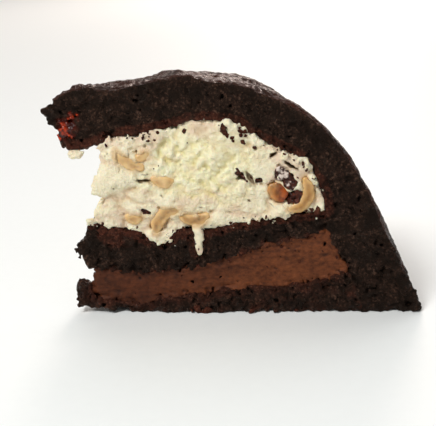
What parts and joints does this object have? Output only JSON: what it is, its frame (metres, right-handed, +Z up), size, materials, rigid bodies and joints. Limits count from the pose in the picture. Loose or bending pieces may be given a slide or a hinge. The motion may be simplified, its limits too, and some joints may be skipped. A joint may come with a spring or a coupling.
{
  "type": "slice of dome cake",
  "caption": "Slice of a chocolate dome cake with a sponge lining, cream with candied peel, chocolate mousse and sponge.",
  "frame": {"origin": "under the middle of the slice's box, on the surface that the slice stands on", "axes": "+X from the tip of the slice to the rim of the dome, along the first cut face; +Y from the first cut face into the slice; +Z up"},
  "size_m": [0.1236, 0.052, 0.0823],
  "materials": {
    "chocolate_sponge": "matt moist crumb, with a glossy skin on the dome",
    "whipped_cream": "soft satin, torn by the knife",
    "chocolate_mousse": "smooth satin with small bubbles",
    "candied_peel": "moist, a little translucent",
    "dark_chocolate": "satin broken chocolate"
  },
  "bodies": {
    "root": {"chocolate_1": "dark_chocolate", "chocolate_2": "dark_chocolate", "chocolate_3": "dark_chocolate", "chocolate_4": "dark_chocolate", "chocolate_5": "dark_chocolate", "chocolate_6": "dark_chocolate", "chocolate_7": "dark_chocolate", "chocolate_mousse": "chocolate_mousse", "cream_filling": "whipped_cream", "peel_1": "candied_peel", "peel_10": "candied_peel", "peel_11": "candied_peel", "peel_2": "candied_peel", "peel_3": "candied_peel", "peel_4": "candied_peel", "peel_5": "candied_peel", "peel_6": "candied_peel", "peel_7": "candied_peel", "peel_8": "candied_peel", "peel_9": "candied_peel", "sponge_base": "chocolate_sponge", "sponge_disc": "chocolate_sponge", "sponge_lining": "chocolate_sponge"}
  },
  "joints": []
}
